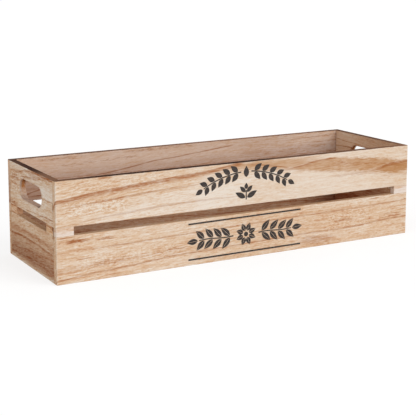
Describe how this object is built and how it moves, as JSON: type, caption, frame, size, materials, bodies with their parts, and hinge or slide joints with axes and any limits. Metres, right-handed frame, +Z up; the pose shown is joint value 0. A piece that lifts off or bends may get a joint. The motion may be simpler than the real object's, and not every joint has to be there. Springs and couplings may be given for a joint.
{
  "type": "planter crate",
  "caption": "Long open-topped planter crate of thin pale boards, with an open slot round its walls and a round-ended hand hole in each end.",
  "frame": {"origin": "on the ground under the middle of the crate", "axes": "+X along the length to the right, -Y out of the front wall, +Z up"},
  "size_m": [0.5, 0.16, 0.12],
  "materials": {
    "long_board_wood": "matte, lightly scorched paulownia with orange-brown grain",
    "end_board_wood": "matte, lightly scorched paulownia with brown grain",
    "spacer_wood": "matte, sanded paulownia",
    "base_wood": "matte, sanded paulownia",
    "brad_steel": "dull, tinted brown"
  },
  "bodies": {
    "root": {"front_lower_board": "long_board_wood", "front_upper_board": "long_board_wood", "back_lower_board": "long_board_wood", "back_upper_board": "long_board_wood", "left_end_lower_board": "end_board_wood", "left_end_upper_board": "end_board_wood", "right_end_lower_board": "end_board_wood", "right_end_upper_board": "end_board_wood", "front_spacer_left": "spacer_wood", "front_spacer_right": "spacer_wood", "back_spacer_left": "spacer_wood", "back_spacer_right": "spacer_wood", "left_end_spacer_front": "spacer_wood", "left_end_spacer_back": "spacer_wood", "right_end_spacer_front": "spacer_wood", "right_end_spacer_back": "spacer_wood", "base_panel": "base_wood", "front_left_brads": "brad_steel", "front_right_brads": "brad_steel", "back_left_brads": "brad_steel", "back_right_brads": "brad_steel", "base_front_brads": "brad_steel", "base_back_brads": "brad_steel", "base_left_brads": "brad_steel", "base_right_brads": "brad_steel"}
  },
  "joints": []
}
